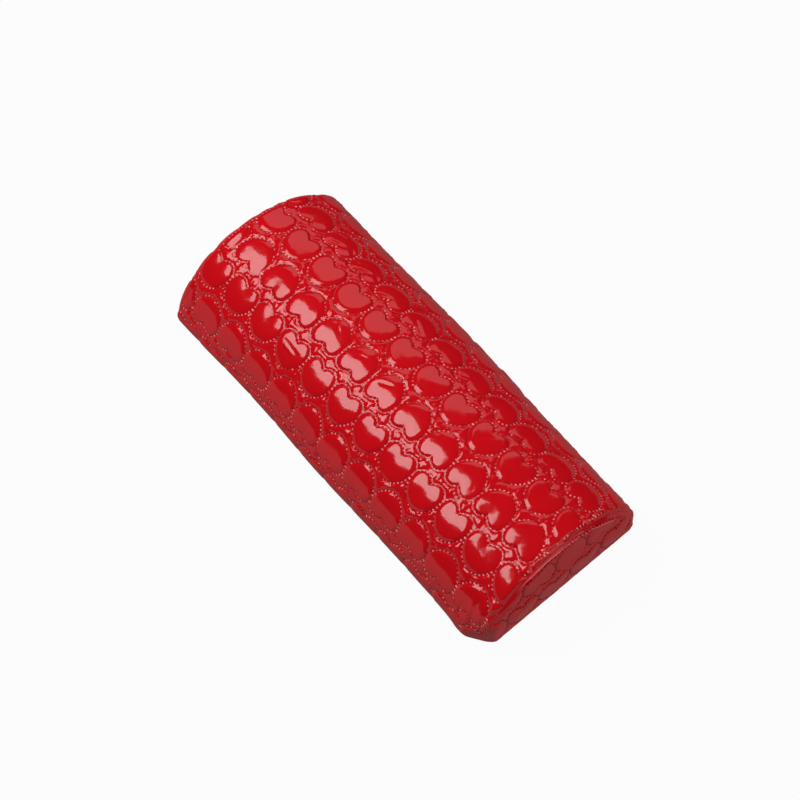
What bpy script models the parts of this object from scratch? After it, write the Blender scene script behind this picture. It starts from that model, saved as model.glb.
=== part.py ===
# Hand rest for manicures: a block of soft foam, arched on top and flat underneath,
# in a sewn cover of glossy red leathercloth quilted with rows of hearts.
#
# Metres, +Z up. X runs along the rest and Y across it. The origin is on the table,
# under the middle of the part.
#
# The outer skin is a smaller body, the kernel, grown by EDGE_RADIUS, so every edge is
# rounded by that radius. The kernel is a straight bar with an arched section. Each panel
# of the cover is laid out flat, and a wrap function carries the flat sheet round the
# kernel. The sheets meet on the middle line of the rounded edges, where the seams are.

import math

import bmesh
import bpy
import numpy as np
from mathutils import Vector, geometry

MM = 0.001

# Size of the sewn cover, measured to its stitch lines
LENGTH = 307.0 * MM
WIDTH = 130.0 * MM
HEIGHT = 61.0 * MM
EDGE_RADIUS = 7.0 * MM

# Quilted sheet and the gaps that separate pieces keep
COVER_THICKNESS = 3.0 * MM
SEAM_GAP = 0.5 * MM
CORE_CLEARANCE = 0.5 * MM

# Quilting: rows of hearts run along X. Two rows face each other notch to notch across a
# straight channel, and the next pair meets them tip to tip.
HEART_PITCH = 26.2 * MM
ROW_PITCH = 25.9 * MM
HEART_SPACING = 1.2 * MM
HEART_LENGTH = 23.0 * MM
CHANNEL_MARGIN = 2.2 * MM
NOTCH_DEPTH = 3.6 * MM
SHOULDER = 2.0 * MM
RELIEF = 1.4 * MM
HEART_CROWN = 0.4 * MM
SEAM_MARGIN = 0.6 * MM
SHORTEST_SIDE = 0.8 * MM
SMALLEST_SHARE = 0.12

# The heart's curve on each side of its middle line: notch, top of the lobe, widest place,
# tip, and how far the curve holds its direction at each, as shares of half width and length
LOBE_ACROSS = 0.52
WIDEST_DOWN = 0.36
NOTCH_ACROSS = 0.16
NOTCH_RISE = 0.45
LOBE_INNER = 0.30
LOBE_OUTER = 0.80
FLANK_ABOVE = 0.14
FLANK_BELOW = 0.68
TIP_ACROSS = 0.50

# The raised heart inside the stitched one: what it loses at its tip and notch, in shoulders
TIP_SHOULDERS = 2.4
NOTCH_SHOULDERS = 0.4

# Where the cloth was cut: a channel's distance from the ridge, a contact line's X, and turn
TOP_CHANNEL = -30.0 * MM
TOP_CONTACT = -115.1 * MM
TOP_TURN = -0.015
END_CHANNEL = 33.0 * MM
END_CONTACT = -7.5 * MM

# How the filled cover settles: its ends slant in plan, and each lower corner draws in, or
# bulges where the value is negative. Left is the -Y side.
NEAR_SLANT = -0.07
FAR_SLANT = 0.01
SLANT_REACH = 60.0 * MM
NEAR_LEFT_DRAW = 8.0 * MM
NEAR_RIGHT_DRAW = -1.0 * MM
FAR_LEFT_DRAW = -4.0 * MM
FAR_RIGHT_DRAW = 3.0 * MM
NEAR_REACH = 18.0 * MM
FAR_REACH = 120.0 * MM
DRAW_HEIGHT = 24.0 * MM
END_DOME = 2.0 * MM

# Fineness of the mesh
HEART_STEPS = 3
CURVE_STEP = 9.0 * MM
LENGTH_STEP = 24.0 * MM
ROUND_STEPS = 2
ARCH_SAMPLES = 721
SHARP_ANGLE = math.radians(40)
WELD = 1e-7

HALF_LENGTH = LENGTH / 2 - EDGE_RADIUS
HALF_WIDTH = WIDTH / 2 - EDGE_RADIUS
SEAM_REACH = EDGE_RADIUS * math.pi / 4 - SEAM_GAP / 2
CORE_RADIUS = EDGE_RADIUS - COVER_THICKNESS - CORE_CLEARANCE

COVER_RED = (0.52, 0.003, 0.008, 1.0)
END_RED = (0.36, 0.003, 0.008, 1.0)
BASE_RED = (0.28, 0.003, 0.008, 1.0)
FOAM_CREAM = (0.80, 0.74, 0.58, 1.0)


def clear_scene():
    for thing in list(bpy.data.objects):
        bpy.data.objects.remove(thing, do_unlink=True)


def material(name, colour, roughness):
    made = bpy.data.materials.new(name)
    made.use_nodes = True
    shader = made.node_tree.nodes["Principled BSDF"]
    shader.inputs["Base Color"].default_value = colour
    shader.inputs["Roughness"].default_value = roughness
    shader.inputs["Metallic"].default_value = 0.0
    made.diffuse_color = colour
    return made


# The arch: a half ellipse that stands on the rounded lower edges
def arch_at(angle):
    """Points (y, z) of the skin's arch and its outward normals, for angles 0 to pi from -Y to +Y."""
    rise = HEIGHT - EDGE_RADIUS
    points = np.stack([-WIDTH / 2 * np.cos(angle), EDGE_RADIUS + rise * np.sin(angle)], -1)
    normals = np.stack([-rise * np.cos(angle), WIDTH / 2 * np.sin(angle)], -1)
    return points, normals / np.linalg.norm(normals, axis=-1, keepdims=True)


ARCH_ANGLES = np.linspace(0.0, math.pi, ARCH_SAMPLES)
ARCH_POINTS, ARCH_NORMALS = arch_at(ARCH_ANGLES)
ARCH_CHORDS = np.linalg.norm(np.diff(ARCH_POINTS, axis=0), axis=1)
ARCH_RUN = np.concatenate([[0.0], np.cumsum(ARCH_CHORDS)])
ARCH_LENGTH = ARCH_RUN[-1]
KERNEL_ARCH = ARCH_POINTS - EDGE_RADIUS * ARCH_NORMALS


def unit(vectors):
    return vectors / np.linalg.norm(vectors, axis=-1, keepdims=True)


def ease(value):
    """0 below 0, 1 above 1, and a smooth step between."""
    held = np.clip(value, 0.0, 1.0)
    return held * held * (3.0 - 2.0 * held)


def settle(points):
    """The small ways in which the filled cover leaves its ideal shape."""
    x, y, z = points.T
    to_end = np.abs(x) - LENGTH / 2
    low = 1.0 - ease((z - EDGE_RADIUS) / DRAW_HEIGHT)
    near_draw = np.where(y > 0, NEAR_RIGHT_DRAW, NEAR_LEFT_DRAW) * ease(1.0 + to_end / NEAR_REACH)
    far_draw = np.where(y > 0, FAR_RIGHT_DRAW, FAR_LEFT_DRAW) * ease(1.0 + to_end / FAR_REACH)
    out = y / (WIDTH / 2)
    y = y - np.where(x > 0, near_draw, far_draw) * low * out * np.abs(out)
    slant = np.where(x > 0, NEAR_SLANT, FAR_SLANT) * ease(1.0 + to_end / SLANT_REACH)
    return np.stack([x + slant * y, y, z], -1)


# Wrap functions: flat coordinates and a height above the sheet give points on the part
def wrap_top(flat, height):
    """u along X, v from the ridge round the arch."""
    u, v = flat.T
    run = np.clip(v + ARCH_LENGTH / 2, 0.0, ARCH_LENGTH)
    points, side = arch_at(np.interp(run, ARCH_RUN, ARCH_ANGLES))
    kernel = points - EDGE_RADIUS * side
    past_end = np.maximum(np.abs(u) - HALF_LENGTH, 0.0) / EDGE_RADIUS
    past_side = np.maximum(np.abs(v) - ARCH_LENGTH / 2, 0.0) / EDGE_RADIUS
    normal = np.stack([np.sign(u) * np.tan(past_end), side[:, 0], side[:, 1] - np.tan(past_side)], -1)
    base = np.stack([np.clip(u, -HALF_LENGTH, HALF_LENGTH), kernel[:, 0], kernel[:, 1]], -1)
    return settle(base + (EDGE_RADIUS + height)[:, None] * unit(normal))


def nearest_on_arch(flat):
    """For points beyond the kernel's arch: the nearest point of it, the normal there and the distance."""
    start, step = KERNEL_ARCH[:-1], np.diff(KERNEL_ARCH, axis=0)
    offset = flat[:, None, :] - start
    share = np.clip((offset * step).sum(-1) / (step * step).sum(-1), 0.0, 1.0)
    miss = np.linalg.norm(offset - share[..., None] * step, axis=-1)
    best = np.argmin(miss, axis=1)
    rows = np.arange(len(flat))
    point = start[best] + share[rows, best, None] * step[best]
    angle = np.interp(best + share[rows, best], np.arange(ARCH_SAMPLES), ARCH_ANGLES)
    return point, arch_at(angle)[1], miss[rows, best]


def inside_kernel(flat):
    y, z = flat.T
    above = np.interp(y, KERNEL_ARCH[:, 0], KERNEL_ARCH[:, 1])
    return (np.abs(y) < HALF_WIDTH) & (z < above)


def wrap_end(flat, height, side):
    """The end face, laid out as (y, z). side is 1 at the near end and -1 at the far end."""
    y, z = flat.T
    raised = np.stack([y, np.maximum(z, EDGE_RADIUS)], -1)
    point, outward, distance = nearest_on_arch(raised)
    within = inside_kernel(raised)
    kernel = np.where(within[:, None], raised, point)
    past_arch = np.where(within, 0.0, distance) / EDGE_RADIUS
    past_base = np.maximum(EDGE_RADIUS - z, 0.0) / EDGE_RADIUS
    lean = np.tan(past_arch)[:, None] * outward
    normal = np.stack([np.full(len(flat), float(side)), lean[:, 0], lean[:, 1] - np.tan(past_base)], -1)
    inset = np.where(within, np.minimum(distance, raised[:, 1] - EDGE_RADIUS), 0.0)
    dome = END_DOME * ease(inset / (HEIGHT / 2))
    base = np.stack([np.full(len(flat), side * HALF_LENGTH), kernel[:, 0], kernel[:, 1]], -1)
    return settle(base + (EDGE_RADIUS + height + dome)[:, None] * unit(normal))


def wrap_base(flat, height):
    """The underside, laid out as (x, y)."""
    x, y = flat.T
    past_end = np.maximum(np.abs(x) - HALF_LENGTH, 0.0) / EDGE_RADIUS
    past_side = np.maximum(np.abs(y) - HALF_WIDTH, 0.0) / EDGE_RADIUS
    lean_x = np.sign(x) * np.tan(past_end)
    lean_y = np.sign(y) * np.tan(past_side)
    normal = np.stack([lean_x, lean_y, np.full(len(flat), -1.0)], -1)
    held_x = np.clip(x, -HALF_LENGTH, HALF_LENGTH)
    held_y = np.clip(y, -HALF_WIDTH, HALF_WIDTH)
    base = np.stack([held_x, held_y, np.full(len(flat), EDGE_RADIUS)], -1)
    return settle(base + (EDGE_RADIUS + height)[:, None] * unit(normal))


# Hearts
def curve(points, steps):
    """Points along a cubic Bezier curve, without its last one."""
    a, b, c, d = (np.array(point) for point in points)
    t = np.linspace(0.0, 1.0, steps, endpoint=False)[:, None]
    return (1 - t) ** 3 * a + 3 * t * (1 - t) ** 2 * b + 3 * t * t * (1 - t) * c + t**3 * d


def heart(width, length, notch):
    """A closed outline, its lobes touching the line y = 0 and its tip at y = length."""
    half = width / 2
    lobe = (half * LOBE_ACROSS, 0.0)
    flank = (half, length * WIDEST_DOWN)
    tip = (0.0, length)
    out_of_notch = (half * NOTCH_ACROSS, notch * NOTCH_RISE)
    pieces = [
        [(0.0, notch), out_of_notch, (half * LOBE_INNER, 0.0), lobe],
        [lobe, (half * LOBE_OUTER, 0.0), (half, length * FLANK_ABOVE), flank],
        [flank, (half, length * FLANK_BELOW), (half * TIP_ACROSS, length), tip],
    ]
    right = np.concatenate([curve(piece, HEART_STEPS) for piece in pieces])
    left = right[1:][::-1] * (-1.0, 1.0)
    return np.concatenate([right, [tip], left])


def clipped(loop, low, high):
    """The part of a closed loop inside a rectangle."""
    for axis in (0, 1):
        for limit, keep in ((low[axis], 1.0), (high[axis], -1.0)):
            kept = []
            for here, after in zip(loop, np.roll(loop, -1, axis=0)):
                inside = (here[axis] - limit) * keep
                inside_after = (after[axis] - limit) * keep
                if inside >= 0:
                    kept.append(here)
                if inside * inside_after < 0:
                    kept.append(here + (after - here) * inside / (inside - inside_after))
            if len(kept) < 3:
                return np.empty((0, 2))
            loop = np.array(kept)
    return loop


def area(loop):
    after = np.roll(loop, -1, axis=0)
    return 0.5 * (loop[:, 0] * after[:, 1] - loop[:, 1] * after[:, 0]).sum() if len(loop) else 0.0


def heart_places(contact, channel, turn, reach):
    """Middle of each heart's channel edge, and 1 or -1 for the way its tip points."""
    columns = math.ceil(reach / HEART_PITCH)
    rows = math.ceil(reach / ROW_PITCH)
    rotation = np.array([[math.cos(turn), math.sin(turn)], [-math.sin(turn), math.cos(turn)]])
    for row in range(-rows, rows + 1):
        tip = 1 if row % 2 == 0 else -1
        offset = 0.5 if tip > 0 else 0.0
        line = channel + (row if tip > 0 else row + 1) * ROW_PITCH
        for column in range(-columns, columns + 1):
            spot = np.array([contact + (column + offset) * HEART_PITCH, line])
            yield rotation @ spot, rotation, tip


def heart_loops(contact, channel, turn, low, high, trim):
    """The stitched outline and the raised outline of every heart inside a rectangle.

    trim is a function that leaves out what lies past a curved edge."""
    width = HEART_PITCH - HEART_SPACING
    stitched = heart(width, HEART_LENGTH, NOTCH_DEPTH)
    short_length = HEART_LENGTH - TIP_SHOULDERS * SHOULDER
    short_notch = NOTCH_DEPTH - NOTCH_SHOULDERS * SHOULDER
    raised = heart(width - 2 * SHOULDER, short_length, short_notch) + (0.0, SHOULDER)
    smallest = SMALLEST_SHARE * abs(area(raised))
    loops = []
    for spot, rotation, tip in heart_places(contact, channel, turn, LENGTH):
        pair = []
        for shape, inset in ((stitched, 0.0), (raised, SHOULDER)):
            shifted = (shape + (0.0, CHANNEL_MARGIN)) * (1.0, tip)
            loop = trim(clipped(spot + shifted @ rotation.T, low + inset, high - inset), inset)
            pair.append(loop if tip < 0 else loop[::-1])
        if abs(area(pair[1])) > smallest:
            loops.append(pair)
    return loops


# Sheets
def even_steps(start, end, step):
    return np.linspace(start, end, max(2, math.ceil((end - start) / step) + 1))


def ring_edges(first, count):
    return [(first + i, first + (i + 1) % count) for i in range(count)]


def triangles(outline, rings, dots, heights):
    """A triangulation of the outline's inside that keeps each ring's edges.

    Returns flat points, their heights, triangles, and where the outline's points are."""
    points = [outline, *rings]
    edges = []
    first = 0
    for ring in points:
        edges += ring_edges(first, len(ring))
        first += len(ring)
    flat = np.concatenate([*points, dots])
    face = [list(range(len(outline)))]
    spots = [Vector(point / LENGTH) for point in flat]
    made, _, tris, source, _, _ = geometry.delaunay_2d_cdt(spots, edges, face, 1, WELD, True)
    laid = [flat[ids[0]] if ids else np.array(spot) * LENGTH for spot, ids in zip(made, source)]
    lift = [heights[ids[0]] if ids else heights.min() for ids in source]
    place = {old: new for new, ids in enumerate(source) for old in ids}
    return np.array(laid), np.array(lift), tris, [place[i] for i in range(len(outline))]


def sheet(name, outline, hearts, creases, dots, wrap, colour, roughness):
    """A closed panel: a face with the hearts raised on it, a plain back, and a rim between them."""
    rings = [creases]
    heights = [np.zeros(len(outline) + len(creases))]
    crowns = []
    for stitched, raised in hearts:
        rings += [stitched, raised]
        heights += [np.zeros(len(stitched)), np.full(len(raised), RELIEF)]
        crowns.append(raised.mean(axis=0))
    crowns = np.array(crowns).reshape(-1, 2)
    heights.append(np.full(len(crowns), RELIEF + HEART_CROWN))
    face_flat, lift, face_tris, edge = triangles(outline, rings, crowns, np.concatenate(heights))
    behind = np.full(len(outline) + len(creases) + len(dots), -COVER_THICKNESS)
    back_flat, drop, back_tris, back_edge = triangles(outline, rings[:1], dots, behind)
    count = len(face_flat)
    points = np.concatenate([wrap(face_flat, lift), wrap(back_flat, drop)])
    back = [[count + i for i in reversed(tri)] for tri in back_tris]
    pairs = list(zip(edge, back_edge))
    rim = [[a, count + b, count + d, c] for (a, b), (c, d) in zip(pairs, pairs[1:] + pairs[:1])]
    mesh = bpy.data.meshes.new(name)
    mesh.from_pydata(points.tolist(), [], [*face_tris, *back, *rim])
    return finish(name, mesh, colour, roughness)


def finish(name, mesh, colour, roughness):
    shaped = bmesh.new()
    shaped.from_mesh(mesh)
    bmesh.ops.remove_doubles(shaped, verts=shaped.verts, dist=WELD)
    loose = [vert for vert in shaped.verts if not vert.link_faces]
    bmesh.ops.delete(shaped, geom=loose, context="VERTS")
    bmesh.ops.triangulate(shaped, faces=shaped.faces)
    bmesh.ops.recalc_face_normals(shaped, faces=shaped.faces)
    shaped.to_mesh(mesh)
    shaped.free()
    mesh.shade_smooth()
    mesh.set_sharp_from_angle(angle=SHARP_ANGLE)
    made = bpy.data.objects.new(name, mesh)
    made.data.materials.append(material(name + "_material", colour, roughness))
    bpy.context.scene.collection.objects.link(made)
    return made


def rectangle(half_x, half_y, along_x, along_y):
    """A closed loop round a rectangle, with a point at each given place on its sides."""
    return np.concatenate(
        [
            np.stack([along_x[:-1], np.full(len(along_x) - 1, -half_y)], -1),
            np.stack([np.full(len(along_y) - 1, half_x), along_y[:-1]], -1),
            np.stack([along_x[:0:-1], np.full(len(along_x) - 1, half_y)], -1),
            np.stack([np.full(len(along_y) - 1, -half_x), along_y[:0:-1]], -1),
        ]
    )


def lines_across(half, step):
    """Places from -(half + seam reach) to half + seam reach, close together on the rounded edges."""
    turn = np.linspace(0.0, SEAM_REACH, ROUND_STEPS + 1)
    middle = even_steps(-half, half, step)
    return np.concatenate([-half - turn[:0:-1], middle, half + turn[1:]])


def grid(along_x, along_y):
    return np.stack(np.meshgrid(along_x, along_y, indexing="ij"), -1).reshape(-1, 2)


def untrimmed(loop, inset):
    return loop


def top_panel():
    """The quilted sheet over the arch, from one lower seam to the other."""
    half_arch = ARCH_LENGTH / 2
    along_u = lines_across(HALF_LENGTH, LENGTH_STEP)
    along_v = lines_across(half_arch, CURVE_STEP)
    outline = rectangle(HALF_LENGTH + SEAM_REACH, half_arch + SEAM_REACH, along_u, along_v)
    inner = slice(ROUND_STEPS, -ROUND_STEPS)
    crease = rectangle(HALF_LENGTH, half_arch, along_u[inner], along_v[inner])
    field = np.array([HALF_LENGTH, half_arch]) - SEAM_MARGIN
    hearts = heart_loops(TOP_CONTACT, TOP_CHANNEL, TOP_TURN, -field, field, untrimmed)
    dots = grid(along_u[1:-1], along_v[1:-1])
    return sheet("top_panel", outline, hearts, crease, dots, wrap_top, COVER_RED, 0.12)


def end_outline(reach, angles):
    """The end face's outline, a distance past the kernel: square at the lower corners."""
    points, normals = arch_at(angles)
    arch = points - (EDGE_RADIUS - reach) * normals
    base_y = even_steps(-HALF_WIDTH, HALF_WIDTH, LENGTH_STEP)
    low = EDGE_RADIUS - reach
    corner = HALF_WIDTH + reach
    if reach <= 0:
        base = np.stack([base_y[1:-1][::-1], np.full(len(base_y) - 2, EDGE_RADIUS)], -1)
        return np.concatenate([arch, base])[::-1]
    base = np.stack([base_y[::-1], np.full(len(base_y), low)], -1)
    return np.concatenate([arch, [[corner, low]], base, [[-corner, low]]])[::-1]


def end_panel(name, side):
    """A quilted D-shaped end. The outline runs anticlockwise seen from +X."""
    run = even_steps(0.0, ARCH_LENGTH, CURVE_STEP)
    angles = np.interp(run, ARCH_RUN, ARCH_ANGLES)
    outline = end_outline(SEAM_REACH, angles)
    crease = end_outline(0.0, angles)
    low = np.array([-HALF_WIDTH, EDGE_RADIUS]) + SEAM_MARGIN
    high = np.array([HALF_WIDTH, HEIGHT])

    def trim(loop, inset):
        """Pulls a loop's points in to the kernel's arch, less the margin and the inset."""
        if not len(loop):
            return loop
        point, outward, distance = nearest_on_arch(loop)
        depth = np.where(inside_kernel(loop), distance, -distance)
        short = np.maximum(SEAM_MARGIN + inset - depth, 0.0)
        moved = loop - short[:, None] * outward
        keep = np.linalg.norm(moved - np.roll(moved, 1, axis=0), axis=1) > SHORTEST_SIDE
        return moved[keep] if keep.sum() > 3 else np.empty((0, 2))

    hearts = heart_loops(END_CONTACT, END_CHANNEL, 0.0, low, high, trim)
    across = even_steps(-HALF_WIDTH, HALF_WIDTH, LENGTH_STEP)
    spots = grid(across, even_steps(0.0, HEIGHT, 2 * CURVE_STEP))
    depth = nearest_on_arch(spots)[2]
    spots = spots[inside_kernel(spots) & (depth > SEAM_REACH) & (spots[:, 1] > EDGE_RADIUS + SEAM_REACH)]
    rounding = [end_outline(SEAM_REACH * step / ROUND_STEPS, angles) for step in range(1, ROUND_STEPS)]
    dots = np.concatenate([spots, *rounding])

    def wrap(flat, height):
        return wrap_end(flat, height, side)

    return sheet(name, outline, hearts, crease, dots, wrap, END_RED, 0.15)


def base_panel():
    """The plain flat sheet underneath."""
    along_x = lines_across(HALF_LENGTH, LENGTH_STEP)
    along_y = lines_across(HALF_WIDTH, LENGTH_STEP)
    outline = rectangle(HALF_LENGTH + SEAM_REACH, HALF_WIDTH + SEAM_REACH, along_x, along_y)
    inner = slice(ROUND_STEPS, -ROUND_STEPS)
    crease = rectangle(HALF_LENGTH, HALF_WIDTH, along_x[inner], along_y[inner])
    dots = grid(along_x[1:-1], along_y[1:-1])
    return sheet("base_panel", outline, [], crease, dots, wrap_base, BASE_RED, 0.35)


def foam_core():
    """The foam block: the kernel grown by a smaller radius, as rings of one section along X."""
    run = even_steps(0.0, ARCH_LENGTH, CURVE_STEP)
    points, normals = arch_at(np.interp(run, ARCH_RUN, ARCH_ANGLES))
    kernel = points - EDGE_RADIUS * normals
    turns = np.linspace(0.0, math.pi / 2, ROUND_STEPS + 2)
    corner = np.stack([np.cos(turns), -np.sin(turns)], -1)
    base_y = even_steps(-HALF_WIDTH, HALF_WIDTH, LENGTH_STEP)[1:-1][::-1]
    centre = np.concatenate(
        [
            kernel,
            np.tile(kernel[-1], (len(turns) - 1, 1)),
            np.stack([base_y, np.full(len(base_y), EDGE_RADIUS)], -1),
            np.tile(kernel[0], (len(turns) - 1, 1)),
        ]
    )
    outward = np.concatenate(
        [normals, corner[1:], np.tile([0.0, -1.0], (len(base_y), 1)), corner[:0:-1] * (-1.0, 1.0)]
    )
    middle = even_steps(-HALF_LENGTH, HALF_LENGTH, LENGTH_STEP)
    lean = turns[1:]
    stations = [(-HALF_LENGTH - CORE_RADIUS * math.sin(a), math.cos(a)) for a in lean[::-1]]
    stations += [(x, 1.0) for x in middle]
    stations += [(HALF_LENGTH + CORE_RADIUS * math.sin(a), math.cos(a)) for a in lean]
    rings = []
    for x, share in stations:
        section = centre + CORE_RADIUS * share * outward
        rings.append(np.column_stack([np.full(len(section), x), section]))
    count = len(centre)
    faces = []
    for first in range(0, (len(rings) - 1) * count, count):
        for i, j in ring_edges(first, count):
            faces.append([i, j, j + count, i + count])
    last = (len(rings) - 1) * count
    faces.append(list(range(count)))
    faces.append([last + i for i in reversed(range(count))])
    mesh = bpy.data.meshes.new("foam_core")
    mesh.from_pydata(settle(np.concatenate(rings)).tolist(), [], faces)
    return finish("foam_core", mesh, FOAM_CREAM, 0.9)


def centre_on_table(objects):
    """Moves every mesh so that the origin is under the middle of the part's box."""
    corners = np.concatenate([np.array([vert.co for vert in thing.data.vertices]) for thing in objects])
    low, high = corners.min(axis=0), corners.max(axis=0)
    shift = Vector((-(low[0] + high[0]) / 2, -(low[1] + high[1]) / 2, -low[2]))
    for thing in objects:
        for vert in thing.data.vertices:
            vert.co += shift


clear_scene()
centre_on_table(
    [
        top_panel(),
        end_panel("near_end_panel", 1),
        end_panel("far_end_panel", -1),
        base_panel(),
        foam_core(),
    ]
)
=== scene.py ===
# %% [markdown]
# A manicure hand rest is a small bolster: a block of soft foam, arched on top and flat
# underneath, in a sewn cover of patent leathercloth. The cover is quilted with rows of
# hearts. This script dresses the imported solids: each sheet of the cover becomes a fine
# surface with its hearts, seams and creases, and gets a glossy finish.
#
# Every sheet is made in two steps. First it is flat: two coordinates along it, and a
# height above it. Then a wrap carries it round the foam. That way the quilting is drawn
# flat, as the real cloth was, and bends with the shape by itself.

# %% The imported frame
import math

import bpy
import numpy as np
from mathutils import Matrix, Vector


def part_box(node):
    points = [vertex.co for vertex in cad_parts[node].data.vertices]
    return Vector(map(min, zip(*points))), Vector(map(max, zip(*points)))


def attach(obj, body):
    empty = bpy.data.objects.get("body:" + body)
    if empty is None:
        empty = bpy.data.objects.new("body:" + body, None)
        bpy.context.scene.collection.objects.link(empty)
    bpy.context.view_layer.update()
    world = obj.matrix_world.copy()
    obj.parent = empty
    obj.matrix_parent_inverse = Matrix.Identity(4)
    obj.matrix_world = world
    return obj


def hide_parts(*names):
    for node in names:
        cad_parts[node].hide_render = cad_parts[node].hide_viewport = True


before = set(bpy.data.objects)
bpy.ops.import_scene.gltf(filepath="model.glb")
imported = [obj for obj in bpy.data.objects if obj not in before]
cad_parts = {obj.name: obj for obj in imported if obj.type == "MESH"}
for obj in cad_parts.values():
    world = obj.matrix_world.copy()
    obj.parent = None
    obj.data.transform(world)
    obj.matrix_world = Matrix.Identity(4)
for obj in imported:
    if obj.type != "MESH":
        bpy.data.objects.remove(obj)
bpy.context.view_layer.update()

MM = 0.001

# %% [markdown]
# The sizes below are the cover's own. The body is a smaller one, the kernel, grown by
# EDGE_RADIUS, so all its edges are rounded alike. The kernel is a straight bar with an
# arched section. The sheets meet on the middle line of the rounded edges, where a maker
# would put the seams.

# %% Sizes of the cover
LENGTH = 307.0 * MM
WIDTH = 130.0 * MM
HEIGHT = 61.0 * MM
EDGE_RADIUS = 7.0 * MM
LINING_DEPTH = 2.6 * MM
SOLID_GAP = 0.5 * MM
SEAM_GAP = 0.05 * MM
END_DOME = 2.0 * MM

HALF_LENGTH = LENGTH / 2 - EDGE_RADIUS
HALF_WIDTH = WIDTH / 2 - EDGE_RADIUS
SOLID_REACH = EDGE_RADIUS * math.pi / 4 - SOLID_GAP / 2
SEAM_REACH = EDGE_RADIUS * math.pi / 4 - SEAM_GAP / 2
RISE = HEIGHT - EDGE_RADIUS
TINY = 1e-9


def unit(vectors):
    """Each vector divided by its length."""
    return vectors / np.linalg.norm(vectors, axis=-1, keepdims=True)


def ease(value):
    """0 below 0, 1 above 1, and between them 3t squared minus 2t cubed."""
    held = np.clip(value, 0.0, 1.0)
    return held * held * (3.0 - 2.0 * held)


def arch_at(angle):
    """The arch: y = -W/2 cos, z = r + (H - r) sin, and the outward normal of that half ellipse."""
    points = np.stack([-WIDTH / 2 * np.cos(angle), EDGE_RADIUS + RISE * np.sin(angle)], -1)
    normals = np.stack([-RISE * np.cos(angle), WIDTH / 2 * np.sin(angle)], -1)
    return points, unit(normals)


ARCH_STEPS = 720
ARCH_ANGLES = np.linspace(0.0, math.pi, ARCH_STEPS + 1)
ARCH_CHORDS = np.linalg.norm(np.diff(arch_at(ARCH_ANGLES)[0], axis=0), axis=1)
ARCH_RUN = np.concatenate([[0.0], np.cumsum(ARCH_CHORDS)])
ARCH_LENGTH = ARCH_RUN[-1]
print(f"arch {ARCH_LENGTH / MM:.1f} mm from seam to seam over the top")

# %% [markdown]
# A filled cover never lies quite true: its ends slant in plan, each lower corner draws in
# or bulges, and the long sides swell out half-way. The solids have all of this but the
# swell. It could be modelled by hand with a lattice. Here it is a short formula that every
# sheet passes through last, so that neighbours still meet.

# %% How the filled cover settles
NEAR_SLANT, FAR_SLANT = -0.07, 0.01
SLANT_REACH = 60.0 * MM
NEAR_LEFT_DRAW, NEAR_RIGHT_DRAW = 8.0 * MM, -1.0 * MM
FAR_LEFT_DRAW, FAR_RIGHT_DRAW = -4.0 * MM, 3.0 * MM
NEAR_REACH, FAR_REACH = 18.0 * MM, 120.0 * MM
DRAW_HEIGHT = 24.0 * MM
SWELL = 2.0 * MM
SWELL_PLACE, SWELL_REACH = -8.0 * MM, 90.0 * MM
SWELL_HEIGHT = 50.0 * MM


def settle(points):
    """Near an end, x moves by slant times y, and low points move in y by the corner's draw
    times the square of how far out they lie. Half-way along, the long sides swell out."""
    x, y, z = points[..., 0], points[..., 1], points[..., 2]
    to_end = np.abs(x) - LENGTH / 2
    low = 1.0 - ease((z - EDGE_RADIUS) / DRAW_HEIGHT)
    near_draw = np.where(y > 0, NEAR_RIGHT_DRAW, NEAR_LEFT_DRAW) * ease(1.0 + to_end / NEAR_REACH)
    far_draw = np.where(y > 0, FAR_RIGHT_DRAW, FAR_LEFT_DRAW) * ease(1.0 + to_end / FAR_REACH)
    swell = SWELL * ease(1.0 - np.abs(x - SWELL_PLACE) / SWELL_REACH)
    swell *= 1.0 - ease((z - EDGE_RADIUS) / SWELL_HEIGHT)
    out = y / (WIDTH / 2)
    y = y + (swell - np.where(x > 0, near_draw, far_draw) * low) * out * np.abs(out)
    slant = np.where(x > 0, NEAR_SLANT, FAR_SLANT) * ease(1.0 + to_end / SLANT_REACH)
    return np.stack([x + slant * y, y, z], -1)


# %% [markdown]
# Three wraps carry flat sheets round the kernel. In each, a point is the kernel's nearest
# point plus the edge radius and its height, along a direction that turns from one face to
# the next over the rounded edge. The tangent in the formulas makes it turn evenly.

# %% Wraps for the top, the ends and the base
def wrap_top(u, v, height):
    """u runs along X and v round the arch from its ridge."""
    run = np.clip(v + ARCH_LENGTH / 2, 0.0, ARCH_LENGTH)
    points, side = arch_at(np.interp(run, ARCH_RUN, ARCH_ANGLES))
    kernel = points - EDGE_RADIUS * side
    past_end = np.maximum(np.abs(u) - HALF_LENGTH, 0.0) / EDGE_RADIUS
    past_side = np.maximum(np.abs(v) - ARCH_LENGTH / 2, 0.0) / EDGE_RADIUS
    lean_x = np.sign(u) * np.tan(past_end)
    lean = np.stack([lean_x, side[..., 0], side[..., 1] - np.tan(past_side)], -1)
    base = np.stack([np.clip(u, -HALF_LENGTH, HALF_LENGTH), kernel[..., 0], kernel[..., 1]], -1)
    return settle(base + (EDGE_RADIUS + height)[..., None] * unit(lean))


NEAREST_STEPS = 5


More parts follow.
